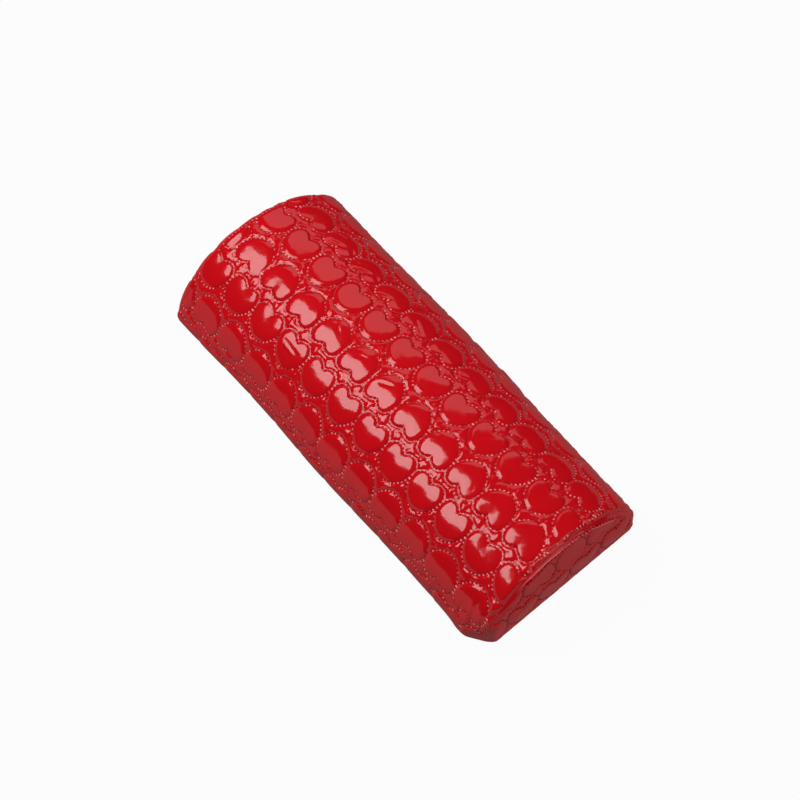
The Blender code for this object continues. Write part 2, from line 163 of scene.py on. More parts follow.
def nearest_on_arch(y, z):
    """The arch's point nearest to each place, its outward normal, and the place's distance
    outside the arch. It starts half-way up and steps with the ellipse's centre of curvature."""
    across, up = np.abs(y), z - EDGE_RADIUS
    half = WIDTH / 2
    cos = np.full(np.shape(y), math.sqrt(0.5))
    sin = np.full(np.shape(y), math.sqrt(0.5))
    for _ in range(NEAREST_STEPS):
        centre_y = (half**2 - RISE**2) * cos**3 / half
        centre_z = (RISE**2 - half**2) * sin**3 / RISE
        radius = np.hypot(half * cos - centre_y, RISE * sin - centre_z)
        away_y, away_z = across - centre_y, up - centre_z
        away = np.maximum(np.hypot(away_y, away_z), TINY)
        cos = np.clip((away_y * radius / away + centre_y) / half, 0.0, 1.0)
        sin = np.clip((away_z * radius / away + centre_z) / RISE, 0.0, 1.0)
        size = np.hypot(cos, sin)
        cos, sin = cos / size, sin / size
    angle = np.arctan2(sin, -np.copysign(cos, y))
    point, outward = arch_at(angle)
    miss = np.stack([y, z], -1) - point
    return point, outward, (miss * outward).sum(-1)


def wrap_end(y, z, height, side):
    """The end's flat coordinates are its own y and z. side is 1 near and -1 far."""
    held_z = np.maximum(z, EDGE_RADIUS)
    point, outward, past = nearest_on_arch(y, held_z)
    past = past + EDGE_RADIUS
    outside = past > 0
    kernel_y = np.where(outside, point[..., 0] - EDGE_RADIUS * outward[..., 0], y)
    kernel_z = np.where(outside, point[..., 1] - EDGE_RADIUS * outward[..., 1], held_z)
    past_arch = np.tan(np.maximum(past, 0.0) / EDGE_RADIUS)
    past_base = np.tan(np.maximum(EDGE_RADIUS - z, 0.0) / EDGE_RADIUS)
    ahead = np.full(np.shape(y), float(side))
    turned = past_arch[..., None] * outward
    lean = np.stack([ahead, turned[..., 0], turned[..., 1] - past_base], -1)
    inset = np.maximum(np.minimum(-past, held_z - EDGE_RADIUS), 0.0)
    dome = END_DOME * ease(inset / (HEIGHT / 2))
    base = np.stack([np.full(np.shape(y), side * HALF_LENGTH), kernel_y, kernel_z], -1)
    return settle(base + (EDGE_RADIUS + height + dome)[..., None] * unit(lean))


def wrap_base(x, y, height):
    """The underside's flat coordinates are its own x and y."""
    lean_x = np.sign(x) * np.tan(np.maximum(np.abs(x) - HALF_LENGTH, 0.0) / EDGE_RADIUS)
    lean_y = np.sign(y) * np.tan(np.maximum(np.abs(y) - HALF_WIDTH, 0.0) / EDGE_RADIUS)
    lean = np.stack([lean_x, lean_y, np.full(np.shape(x), -1.0)], -1)
    held_x = np.clip(x, -HALF_LENGTH, HALF_LENGTH)
    held_y = np.clip(y, -HALF_WIDTH, HALF_WIDTH)
    base = np.stack([held_x, held_y, np.full(np.shape(x), EDGE_RADIUS)], -1)
    return settle(base + (EDGE_RADIUS + height)[..., None] * unit(lean))


# %% [markdown]
# The wraps work about the middle of the kernel, and the solids stand with their box over
# the origin. The base sheet's corners are the same points in both, so they give the shift.

# %% From the kernel's middle to the part's origin
corner_x = (HALF_LENGTH + SOLID_REACH) * np.array([-1.0, 1.0, 1.0, -1.0])
corner_y = (HALF_WIDTH + SOLID_REACH) * np.array([-1.0, -1.0, 1.0, 1.0])
base_corners = wrap_base(corner_x, corner_y, np.zeros(4))
base_low, base_high = (np.array(corner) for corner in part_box("base_panel"))
SHIFT = (base_low + base_high) / 2 - (base_corners.min(axis=0) + base_corners.max(axis=0)) / 2
SHIFT[2] = base_low[2]
print("shift in mm", np.round(SHIFT / MM, 2))

# %% [markdown]
# One heart of the quilting has a stitched outline and, inside it, a raised top with a
# flat crown. Each side of the outline is three cubic curves: notch to lobe, lobe to
# widest place, and widest place to tip.

# %% The heart's outlines
HEART_PITCH = 26.2 * MM
ROW_PITCH = 25.9 * MM
HEART_WIDTH = 25.9 * MM
HEART_LENGTH = 23.2 * MM
CHANNEL_MARGIN = 2.1 * MM
NOTCH_DEPTH = 3.6 * MM
TOP_WIDTH = 21.8 * MM
TOP_LENGTH = 18.9 * MM
TOP_NOTCH = 2.7 * MM
TOP_INSET = 1.6 * MM

LOBE_ACROSS = 0.52
WIDEST_DOWN = 0.36
# The curves' handles, as shares of the half width, the notch's depth or the length
NOTCH_ASIDE, NOTCH_DOWN = 0.16, 0.45
LOBE_INWARD, LOBE_OUTWARD = 0.30, 0.80
FLANK_ABOVE, FLANK_BELOW = 0.14, 0.68
TIP_ASIDE = 0.50
CURVE_STEPS = 40


def half_heart(width, length, notch):
    """Points down one side from the notch to the tip. The lobes touch y = 0."""
    half = width / 2
    lobe = (half * LOBE_ACROSS, 0.0)
    flank = (half, length * WIDEST_DOWN)
    pieces = [
        [(0.0, notch), (half * NOTCH_ASIDE, notch * NOTCH_DOWN), (half * LOBE_INWARD, 0.0), lobe],
        [lobe, (half * LOBE_OUTWARD, 0.0), (half, length * FLANK_ABOVE), flank],
        [flank, (half, length * FLANK_BELOW), (half * TIP_ASIDE, length), (0.0, length)],
    ]
    t = np.linspace(0.0, 1.0, CURVE_STEPS, endpoint=False)[:, None]
    found = []
    for piece in pieces:
        a, b, c, d = np.array(piece)
        found.append((1 - t) ** 3 * a + 3 * t * (1 - t) ** 2 * b + 3 * t * t * (1 - t) * c + t**3 * d)
    return np.concatenate([*found, [[0.0, length]]])


# %% [markdown]
# To raise thousands of grid points by their distance to a curve, it is cheaper to measure
# one heart once. This map holds, every fifth of a millimetre, the signed distance to the
# stitched outline and to the raised top, and where along the stitches the nearest one is.
# That place is kept as a cosine and a sine, which blend smoothly where a count would jump.

# %% A map of one heart
STITCH_PITCH = 2.7 * MM
MAP_STEP = 0.2 * MM
MAP_LOW = np.array([-1.0, -7.0]) * MM
MAP_SIZE = (106, 196)
# The furthest place that still has a grid point beyond it
MAP_LAST = np.array(MAP_SIZE) - 1.001


def distances(points, line):
    """For each point, its distance to the line, and how far along the line the nearest
    place is."""
    start, step = line[:-1], np.diff(line, axis=0)
    size = np.linalg.norm(step, axis=1)
    before = np.concatenate([[0.0], np.cumsum(size)[:-1]])
    offset = points[:, None, :] - start
    share = np.clip((offset * step).sum(-1) / size**2, 0.0, 1.0)
    miss = np.linalg.norm(offset - share[..., None] * step, axis=-1)
    best = np.argmin(miss, axis=1)[:, None]
    along = np.take_along_axis(before + share * size, best, axis=1)
    return np.take_along_axis(miss, best, axis=1)[:, 0], along[:, 0]


def inside(points, line):
    """Whether a point on the right half lies inside the outline: a ray from it towards +X
    crosses the side an odd number of times."""
    low, high = line[:-1, 1], line[1:, 1]
    y = points[:, None, 1]
    crosses = (low > y) != (high > y)
    place = line[:-1, 0] + (y - low) * np.diff(line[:, 0]) / np.where(high == low, 1.0, high - low)
    return (crosses & (place > points[:, None, 0])).sum(axis=1) % 2 == 1


def heart_map():
    """Signed distances, positive inside, and the stitch's cosine and sine, on the map's grid."""
    x = MAP_LOW[0] + MAP_STEP * np.arange(MAP_SIZE[0])
    y = MAP_LOW[1] + MAP_STEP * np.arange(MAP_SIZE[1])
    points = np.stack(np.meshgrid(np.abs(x), y, indexing="ij"), -1).reshape(-1, 2)
    stitched = half_heart(HEART_WIDTH, HEART_LENGTH, NOTCH_DEPTH)
    top = half_heart(TOP_WIDTH, TOP_LENGTH, TOP_NOTCH) + (0.0, TOP_INSET)
    to_stitch, along = distances(points, stitched)
    to_top, _ = distances(points, top)
    run = np.linalg.norm(np.diff(stitched, axis=0), axis=1).sum()
    turns = along / run * round(run / STITCH_PITCH) * 2 * math.pi
    signed = np.where(inside(points, stitched), to_stitch, -to_stitch)
    signed_top = np.where(inside(points, top), to_top, -to_top)
    layers = [signed, signed_top, np.cos(turns), np.sin(turns)]
    return np.stack([layer.reshape(MAP_SIZE) for layer in layers], -1)


HEART_MAP = heart_map()
print("heart map", HEART_MAP.shape)


def look_up(x, y):
    """The map's values at each place, blended from its four nearest grid points."""
    across = np.clip((np.abs(x) - MAP_LOW[0]) / MAP_STEP, 0.0, MAP_LAST[0])
    down = np.clip((y - MAP_LOW[1]) / MAP_STEP, 0.0, MAP_LAST[1])
    i, j = across.astype(int), down.astype(int)
    a, b = (across - i)[..., None], (down - j)[..., None]
    near = HEART_MAP[i, j] * (1 - b) + HEART_MAP[i, j + 1] * b
    far = HEART_MAP[i + 1, j] * (1 - b) + HEART_MAP[i + 1, j + 1] * b
    return near * (1 - a) + far * a


# %% [markdown]
# The hearts stand in rows along the rest. Two rows face each other notch to notch across a
# straight channel, and the next pair meets them tip to tip, half a pitch along. The cloth
# was cut a little off the straight, so the rows turn slightly.

# %% The lattice of hearts
TOP_CHANNEL = -30.0 * MM
TOP_CONTACT = -115.1 * MM
TOP_TURN = 0.015
END_CHANNEL = 33.0 * MM
END_CONTACT = -7.5 * MM


def quilt(u, v, contact, channel, turn):
    """For each flat point, the map of the heart whose outline is nearest or holds it, that
    heart's row and column, and the point's place in it."""
    along = u * math.cos(turn) + v * math.sin(turn) - contact
    across = v * math.cos(turn) - u * math.sin(turn) - channel
    best = np.full((*np.shape(u), HEART_MAP.shape[-1] + 4), -1.0)
    for row_step in (-1, 0, 1):
        row = np.floor(across / ROW_PITCH) + row_step
        tip = np.where(row % 2 == 0, 1.0, -1.0)
        offset = np.where(tip > 0, 0.5, 0.0)
        line = np.where(tip > 0, row, row + 1) * ROW_PITCH
        down = (across - line) * tip - CHANNEL_MARGIN
        for column_step in (-1, 0, 1):
            column = np.round(along / HEART_PITCH - offset) + column_step
            side = along - (column + offset) * HEART_PITCH
            place = np.stack([row, column, side, down], -1)
            found = np.concatenate([look_up(side, down), place], -1)
            best = np.where((found[..., 0] > best[..., 0])[..., None], found, best)
    return best


# %% [markdown]
# Wadding is never even, and cloth is never flat. The chance in it comes from a formula, not
# from a random generator, so each run gives the same hearts and the same rumples.

# %% Chance that is the same each run
DICE_TURNS = (127.1, 311.7, 74.7)
DICE_SPREAD = 43758.5453
RISE_SALT, SIDE_SALT, DOWN_SALT, DENT_SALT = 1.0, 2.0, 3.0, 4.0
PUCKER_SALT, FINE_SALT, WAVE_SALT, GRAIN_SALT = 5.0, 6.0, 7.0, 9.0


def dice(row, column, salt):
    """A number from -1 to 1 that is always the same for one heart: the part after the point
    of a large sine."""
    turns = row * DICE_TURNS[0] + column * DICE_TURNS[1] + salt * DICE_TURNS[2]
    value = np.sin(turns) * DICE_SPREAD
    return 2.0 * (value - np.floor(value)) - 1.0


def rumple(u, v, size, salt):
    """Smooth random heights from -1 to 1: chance values on a square lattice, blended between."""
    x, y = u / size, v / size
    i, j = np.floor(x), np.floor(y)
    a, b = ease(x - i), ease(y - j)
    low = dice(i, j, salt) * (1.0 - a) + dice(i + 1.0, j, salt) * a
    high = dice(i, j + 1.0, salt) * (1.0 - a) + dice(i + 1.0, j + 1.0, salt) * a
    return low * (1.0 - b) + high * b


# %% [markdown]
# The quilting's height. Wadding lifts the cloth between the stitch lines: steeply at a
# heart's flank, then over a crisp shoulder onto an almost flat top. The narrow strips
# between hearts rise less, and pucker. No two hearts are filled alike, so each gets its
# own small rise, tilt and dents, and those close to the near end lean down towards it.

# %% The quilting's height
RELIEF = 0.95 * MM
CROWN = 0.3 * MM
CROWN_REACH = 4.0 * MM
SHOULDER_ROUND = 0.20
SHOULDER_WIDTH = 1.8 * MM
LEAST_FLANK = 1e-6
WEB_RISE = 0.75 * MM
WEB_REACH = 1.7 * MM
WEB_POWER = 1.6
PUCKER = 0.30 * MM
PUCKER_SIZE = 2.9 * MM
OWN_RISE = 0.15
OWN_TILT = 0.020
NEAR_LEAN = 0.042
LEAN_START = 92.0 * MM
LEAN_REACH = 44.0 * MM
DENT = 0.13 * MM
DENT_SIZE = 7.5 * MM
GRAIN = 0.022 * MM
GRAIN_SIZE = 2.3 * MM


def quilt_height(found, u, v):
    """Inside a heart: relief times a softened ramp from the stitches to the raised top, plus
    a crown, a tilt, a lean and dents. Outside: a web that rises with the distance from the
    stitches, and puckers."""
    to_stitch, to_top, _, _, row, column, side, down = np.moveaxis(found, -1, 0)
    climb = to_stitch / np.maximum(to_stitch - to_top, LEAST_FLANK)
    share = np.where(to_top > 0, 1.0 + to_top / SHOULDER_WIDTH, climb)
    ramp = 0.5 * (share + 1.0 - np.sqrt((share - 1.0) ** 2 + SHOULDER_ROUND**2))
    crown = CROWN * (1.0 - np.exp(-np.maximum(to_top, 0.0) / CROWN_REACH))
    own = 1.0 + OWN_RISE * dice(row, column, RISE_SALT)
    tilt = side * dice(row, column, SIDE_SALT)
    tilt += (down - HEART_LENGTH / 2) * dice(row, column, DOWN_SALT)
    lean = NEAR_LEAN * ease((u - side - LEAN_START) / LEAN_REACH) * side
    dents = DENT * rumple(u, v, DENT_SIZE, DENT_SALT)
    dents += GRAIN * rumple(u, v, GRAIN_SIZE, GRAIN_SALT)
    uneven = OWN_TILT * tilt - lean + dents
    heart = RELIEF * ramp * own + crown + uneven * np.clip(share, 0.0, 1.0)
    rise = 1.0 - np.exp(-((np.maximum(-to_stitch, 0.0) / WEB_REACH) ** WEB_POWER))
    folds = rumple(u, v, PUCKER_SIZE, PUCKER_SALT) + rumple(v, u, PUCKER_SIZE / 2, FINE_SALT)
    return np.where(to_stitch > 0, heart, rise * (WEB_RISE + PUCKER * folds))


# %% [markdown]
# Larger waves run under hearts and strips alike. They die out at the seams, where two
# sheets meet and would otherwise part.

# %% Slow waves
WAVE = 0.16 * MM
WAVE_SIZES = (34.0 * MM, 19.0 * MM)
WAVE_FADE = 14.0 * MM


def waves(u, v, from_seam):
    """Rumples of each size, added, times how far in from the seam the point lies."""
    total = sum(rumple(u, v, size, WAVE_SALT + k) for k, size in enumerate(WAVE_SIZES))
    return WAVE * total * ease(from_seam / WAVE_FADE)


# %% [markdown]
# Handling has left creases in the cloth: short valleys with a ridge beside them. Sculpting
# could draw them. Here each is a line between two places on the top sheet, given where the
# photograph shows one catch the light, and it fades out towards both places.

# %% Creases
# Along and across from the middle of the ridge, at both ends, then depth, in millimetres
CREASES = [
    (-112, 24, -98, 31, 0.40),
    (-97, 35, -84, 27, 0.45),
    (-83, 23, -70, 33, 0.40),
    (-75, 36, -60, 28, 0.35),
    (-119, 35, -104, 39, 0.40),
    (-60, 21, -49, 30, 0.30),
    (-30, 33, -14, 26, 0.30),
    (14, 24, 27, 32, 0.28),
    (-130, 3, -121, -9, 0.30),
    (-58, -8, -46, -15, 0.24),
    (-28, -15, -18, -11, 0.20),
    (-5, -17, 6, -11, 0.25),
    (30, -9, 52, -11, 0.22),
    (34, -13, 45, -14, 0.16),
    (-71, -41, -54, -43, 0.18),
    (-69, -46, -57, -47, 0.20),
    (88, -7, 99, -16, 0.25),
    (-149, -88, -145, -58, 0.70),
    (-141, -91, -139, -68, 0.55),
    (-120, -90, -111, -70, 0.40),
    (131, -92, 130, -68, 0.45),
    (140, -93, 138, -60, 0.75),
    (148, -92, 145, -56, 0.60),
    (146, 62, 143, 86, 0.50),
    (138, 70, 137, 91, 0.40),
]
CREASE_WIDTH = 1.3 * MM
BESIDE_SHARE = 0.6
BESIDE_WIDTHS = 1.8


def creases(u, v):
    """A bell-shaped valley along each line, and a share of it as a ridge beside it. Both
    fade by 4s(1 - s), where s runs from 0 to 1 along the line."""
    total = np.zeros(np.shape(u))
    for crease in CREASES:
        u_start, v_start, u_end, v_end, depth = (value * MM for value in crease)
        length = math.hypot(u_end - u_start, v_end - v_start)
        along_u, along_v = (u_end - u_start) / length, (v_end - v_start) / length
        share = ((u - u_start) * along_u + (v - v_start) * along_v) / length
        miss = ((v - v_start) * along_u - (u - u_start) * along_v) / CREASE_WIDTH
        held = np.clip(share, 0.0, 1.0)
        fade = 4.0 * held * (1.0 - held)
        beside = BESIDE_SHARE * np.exp(-((miss - BESIDE_WIDTHS) ** 2))
        total += depth * fade * (beside - np.exp(-(miss**2)))
    return total


# %% [markdown]
# A sheet of cloth has two faces and an edge. The outer face is the fine grid. The lining is
# a coarse one, because it never shows, and the rim joins each coarse side to the fine
# points along it. So every sheet is one closed body, with its faces pointing out.

# %% Closed sheets from grids
LINING_EVERY = 8
CLOSE_MARGIN = 2.0 * MM


def loop_of(rows, columns, every):
    """Grid indices round the border, anticlockwise for a grid with rows along x and columns
    along y."""
    index = np.arange(rows * columns).reshape(rows, columns)
    there = [index[:-1:every, 0], index[-1, :-1:every]]
    back = [index[:0:-every, -1], index[0, :0:-every]]
    return np.concatenate([*there, *back])


def quads(rows, columns, first):
    """Four corners of each grid cell, anticlockwise."""
    index = first + np.arange(rows * columns).reshape(rows, columns)
    corners = [index[:-1, :-1], index[1:, :-1], index[1:, 1:], index[:-1, 1:]]
    return np.stack(corners, -1).reshape(-1, 4)


def rim_faces(fine, coarse):
    """One polygon for each coarse side, with the fine points that lie along it."""
    every = len(fine) // len(coarse)
    faces = []
    for k in range(len(coarse)):
        stretch = [int(fine[(k * every + i) % len(fine)]) for i in range(every, -1, -1)]
        faces.append([*stretch, int(coarse[k]), int(coarse[(k + 1) % len(coarse)])])
    return faces


def new_piece(name, points, faces, values):
    """A smooth mesh object at the origin, with a float attribute for each named array."""
    mesh = bpy.data.meshes.new(name)
    mesh.from_pydata((points + SHIFT).tolist(), [], faces)
    for attribute, numbers in values.items():
        layer = mesh.attributes.new(attribute, "FLOAT", "POINT")
        filled = np.zeros(len(points), np.float32)
        filled[: len(numbers)] = numbers
        layer.data.foreach_set("value", filled)
    mesh.shade_smooth()
    piece = bpy.data.objects.new(name, mesh)
    bpy.context.scene.collection.objects.link(piece)
    print(name, len(points), "points", sum(len(face) - 2 for face in faces), "triangles")
    return piece


def sheet(name, outer, lining, values):
    """A closed sheet from the outer grid and a lining grid that has every eighth line of it."""
    rows, columns = outer.shape[:2]
    low_rows, low_columns = lining.shape[:2]
    count = rows * columns
    front = quads(rows, columns, 0)
    back = quads(low_rows, low_columns, count)[:, ::-1]
    fine = loop_of(rows, columns, 1)
    coarse = count + loop_of(low_rows, low_columns, 1)
    points = np.concatenate([outer.reshape(-1, 3), lining.reshape(-1, 3)])
    faces = [*front.tolist(), *back.tolist(), *rim_faces(fine, coarse)]
    return new_piece(name, points, faces, values)


def lines(half, step):
    """Places from one seam to the other: close together near the seams, even between, and
    one more than a multiple of the lining's count."""
    edge = SEAM_REACH + CLOSE_MARGIN
    close = np.linspace(half + SEAM_REACH - edge, half + SEAM_REACH, 2 * LINING_EVERY + 1)
    wide = 2 * (half + SEAM_REACH - edge)
    count = LINING_EVERY * math.ceil(wide / step / LINING_EVERY)
    middle = np.linspace(-wide / 2, wide / 2, count + 1)
    return np.concatenate([-close[::-1], middle[1:-1], close])


# %% [markdown]
# The top sheet. Its quilting fades just before the end seams, and over a wider band above
# the base, so that it meets its neighbours in a straight line. A row of stitches runs
# beside the middle of each end seam, and the filling bulges at the near left corner.

# %% The top sheet
GRID_STEP = 0.85 * MM
FADE = 3.4 * MM
BASE_FADE = 12.0 * MM
GROOVE_DEPTH = 0.03 * MM
GROOVE_WIDTH = 0.5 * MM
FADED = 6.0
STITCH_ROW = 2.6 * MM
ROW_MIDDLE = 5.0 * MM
ROW_HALF = 36.0 * MM
CORNER_BULGE = 1.9 * MM
BULGE_PLACE = (134.0 * MM, -88.0 * MM)
BULGE_SIZE = (8.0 * MM, 13.0 * MM)


def groove(from_seam):
    """A shallow bell-shaped groove at the seam."""
    return -GROOVE_DEPTH * np.exp(-((from_seam / GROOVE_WIDTH) ** 2))


def cloth_values(found, fade, from_seam, run):
    """What the finish needs at each point: millimetres to the nearest stitch line, more
    where the quilting has faded, and the stitch's place on the line. Run is the distance
    along the end seam, for the row beside it, which shows only on the seam's middle."""
    to_heart = np.abs(found[..., 0]) / MM + FADED * (1.0 - fade)
    past_row = np.maximum(np.abs(run - ROW_MIDDLE) - ROW_HALF, 0.0)
    to_row = (np.abs(from_seam - STITCH_ROW) + past_row) / MM
    turns = run / STITCH_PITCH * 2 * math.pi
    on_row = to_row < to_heart
    return {
        "seam_mm": np.minimum(to_heart, to_row).ravel(),
        "stitch_cos": np.where(on_row, np.cos(turns), found[..., 2]).ravel(),
        "stitch_sin": np.where(on_row, np.sin(turns), found[..., 3]).ravel(),
    }


def make_top():
    """The flat grid, its height, and the wrap round the arch."""
    half_arch = ARCH_LENGTH / 2
    u, v = np.meshgrid(lines(HALF_LENGTH, GRID_STEP), lines(half_arch, GRID_STEP), indexing="ij")
    from_end = HALF_LENGTH + SEAM_REACH - np.abs(u)
    from_side = half_arch + SEAM_REACH - np.abs(v)
    fade = ease(from_end / FADE) * ease(from_side / BASE_FADE)
    found = quilt(u, v, TOP_CONTACT, TOP_CHANNEL, TOP_TURN)
    from_seam = np.minimum(from_end, from_side)
    height = quilt_height(found, u, v) * fade + waves(u, v, from_seam) + creases(u, v)
    height += groove(from_end) + groove(from_side)
    bulge_u = (u - BULGE_PLACE[0]) / BULGE_SIZE[0]
    bulge_v = (v - BULGE_PLACE[1]) / BULGE_SIZE[1]
    height += CORNER_BULGE * np.exp(-(bulge_u**2 + bulge_v**2))
    outer = wrap_top(u, v, height)
    low_u, low_v = (grid[::LINING_EVERY, ::LINING_EVERY] for grid in (u, v))
    lining = wrap_top(low_u, low_v, np.full(low_u.shape, -LINING_DEPTH))
    return sheet("top_cover", outer, lining, cloth_values(found, fade, from_end, v))


top_cover = make_top()

# %% [markdown]
# The ends are D-shaped. Rays run from the seam to the middle of the face, and the grid has
# one column for each ray. Its last row closes to a single point.

# %% The end sheets
END_MIDDLE = (0.0, 27.0 * MM)
MIDDLE_RISE = 1.0 * MM
RAY_STEP = 0.85 * MM
RING_STEP = 0.9 * MM
CLOSE_BAND = 8.0 * MM
CLOSE_STEPS = 24
END_SHARE = 0.95
RIDGE_RISE = 0.32 * MM
RIDGE_WIDTH = 0.38 * MM
# Width of the painted highlight along the ridge's edge
RIDGE_HIGHLIGHT_WIDTH = 0.30 * MM
RIDGE_PLACE = 2.2 * MM
RIDGE_WANDER = 0.04
RIDGE_MIDDLE = 4.0 * MM
RIDGE_HALF = 31.0 * MM
RIDGE_FADE = 13.0 * MM


def end_outline():
    """The seam line in flat coordinates, anticlockwise seen from +X: over the arch from +Y to
    -Y, down to the corner, along the base and up again."""
    counts = [LINING_EVERY * round(size / RAY_STEP / LINING_EVERY) for size in (ARCH_LENGTH, WIDTH)]
    runs = np.linspace(ARCH_LENGTH, 0.0, counts[0] + 1)
    points, normals = arch_at(np.interp(runs, ARCH_RUN, ARCH_ANGLES))
    low = EDGE_RADIUS - SEAM_REACH
    arch = points - low * normals
    corner = HALF_WIDTH + SEAM_REACH
    down = np.linspace(EDGE_RADIUS, low, LINING_EVERY + 1)[1:]
    base = np.linspace(-corner, corner, counts[1] + 1)[1:]
    up = np.linspace(low, EDGE_RADIUS, LINING_EVERY + 1)[1:-1]
    left = np.stack([np.full(len(down), -corner), down], -1)
    under = np.stack([base, np.full(len(base), low)], -1)
    right = np.stack([np.full(len(up), corner), up], -1)
    return np.concatenate([arch, left, under, right])


def end_grid():
    """The rays' flat places: one row for each ring, from the seam inwards, without the middle."""
    outline = end_outline()
    reach = np.linalg.norm(outline - END_MIDDLE, axis=1).max()
    close = np.linspace(0.0, CLOSE_BAND, CLOSE_STEPS + 1) / reach
    count = LINING_EVERY * math.ceil((1.0 - close[-1]) * reach / RING_STEP / LINING_EVERY)
    shares = np.concatenate([close[:-1], np.linspace(close[-1], 1.0, count + 1)])[:-1]
    return outline[None] + (np.array(END_MIDDLE) - outline)[None] * shares[:, None, None]


def end_middle(height, side):
    """The one point where the rays meet."""
    return wrap_end(*(np.array([value]) for value in (*END_MIDDLE, height)), side)


def ridge(y, from_seam):
    """The seam allowance, folded down under the end sheet, lifts it in a thin turned ridge that
    wanders a little from the seam and dies out towards both corners. It gives the ridge's
    height, and the share of a painted highlight along its edge."""
    miss = from_seam - RIDGE_PLACE - RIDGE_WANDER * y
    fade = 1.0 - ease((np.abs(y - RIDGE_MIDDLE) - RIDGE_HALF) / RIDGE_FADE)
    rise = RIDGE_RISE * fade * np.exp(-((miss / RIDGE_WIDTH) ** 2))
    return rise, fade * np.exp(-((miss / RIDGE_HIGHLIGHT_WIDTH) ** 2))


def fan_faces(rows, columns, first):
    """Quads between neighbouring rays, closed round, and a fan of triangles at the middle."""
    index = first + np.arange(rows * columns).reshape(rows, columns)
    after = np.roll(index, -1, axis=1)
    cells = np.stack([index[:-1], after[:-1], after[1:], index[1:]], -1).reshape(-1, 4)
    middle = np.full(columns, first + rows * columns)
    return cells.tolist() + np.stack([index[-1], after[-1], middle], -1).tolist()


def make_end(name, side):
    """The rays' flat grid, its height, and the wrap over the end of the kernel. The waves
    are read a metre apart for the two sides, so that the ends differ."""
    flat = end_grid()
    y, z = flat[..., 0], flat[..., 1]
    from_arch = -nearest_on_arch(y, np.maximum(z, EDGE_RADIUS))[2]
    from_seam = np.minimum(from_arch, z) - EDGE_RADIUS + SEAM_REACH
    fade = ease(from_seam / FADE) * ease((z - EDGE_RADIUS + SEAM_REACH) / BASE_FADE)
    found = quilt(y, z, END_CONTACT, END_CHANNEL, 0.0)
    height = END_SHARE * quilt_height(found, y, z) * fade + groove(from_seam)
    height += waves(y + side, z, from_seam)
    from_arch_seam = np.where(from_arch < z, from_seam, HEIGHT)
    # The ridge's lift, and the share of its edge that gets a painted highlight
    lift, ridge_highlight_share = ridge(y, from_arch_seam)
    outer = wrap_end(y, z, height + lift, side)
    low_y, low_z = (grid[::LINING_EVERY, ::LINING_EVERY] for grid in (y, z))
    lining = wrap_end(low_y, low_z, np.full(low_y.shape, -LINING_DEPTH), side)
    rows, columns = y.shape
    low_rows, low_columns = lining.shape[:2]
    first = rows * columns + 1
    faces = fan_faces(rows, columns, 0)
    faces += [face[::-1] for face in fan_faces(low_rows, low_columns, first)]
    faces += rim_faces(np.arange(columns), first + np.arange(low_columns))
    if side < 0:
        faces = [face[::-1] for face in faces]
    front = [outer.reshape(-1, 3), end_middle(MIDDLE_RISE, side)]
    back = [lining.reshape(-1, 3), end_middle(-LINING_DEPTH, side)]
    points = np.concatenate([*front, *back])
    values = cloth_values(found, fade, from_arch_seam, y)
    return new_piece(name, points, faces, {**values, "ridge_highlight": ridge_highlight_share.ravel()})


near_end_cover = make_end("near_end_cover", 1)
far_end_cover = make_end("far_end_cover", -1)

# %% [markdown]
# The base is a plain sheet of the same leathercloth. It lies on the table, so it is flat but
# for its rounded edges. Its columns are taken the other way round, so that it faces down.

# %% The base sheet
BASE_STEP = 3.0 * MM
UNSTITCHED = 9.0


def make_base():
    """A flat grid with a shallow groove at its seams, and no stitch within UNSTITCHED mm."""
    x, y = np.meshgrid(lines(HALF_LENGTH, BASE_STEP), lines(HALF_WIDTH, BASE_STEP), indexing="ij")
    from_end = HALF_LENGTH + SEAM_REACH - np.abs(x)
    from_side = HALF_WIDTH + SEAM_REACH - np.abs(y)
    outer = wrap_base(x, y, groove(np.minimum(from_end, from_side)))
    low_x, low_y = (grid[::LINING_EVERY, ::LINING_EVERY] for grid in (x, y))
    lining = wrap_base(low_x, low_y, np.full(low_x.shape, -LINING_DEPTH))
    values = {"seam_mm": np.full(x.size, UNSTITCHED), "stitch_cos": np.ones(x.size)}
    return sheet("base_cover", outer[:, ::-1], lining[:, ::-1], values)


base_cover = make_base()

# %% [markdown]
# A shader is a graph of sockets. Written as Python arithmetic it reads like the formula it
# is: the small class below lets a socket add, subtract, multiply and divide.

# %% Shader arithmetic
class Value:
    """A node's output that Python's operators work on, each adding one Math node."""

    def __init__(self, tree, socket):
        self.tree = tree
        self.socket = socket

    def math(self, operation, *others):
        sockets = dict(enumerate([self, *others]))
        return self.tree.node("ShaderNodeMath", {"operation": operation}, sockets)

    def __add__(self, other):
        return self.math("ADD", other)

    def __sub__(self, other):
        return self.math("SUBTRACT", other)

    def __rsub__(self, other):
        return self.tree.node("ShaderNodeMath", {"operation": "SUBTRACT"}, {0: other, 1: self})

    def __mul__(self, other):
        return self.math("MULTIPLY", other)

    def __truediv__(self, other):
        return self.math("DIVIDE", other)

    __radd__ = __add__
    __rmul__ = __mul__


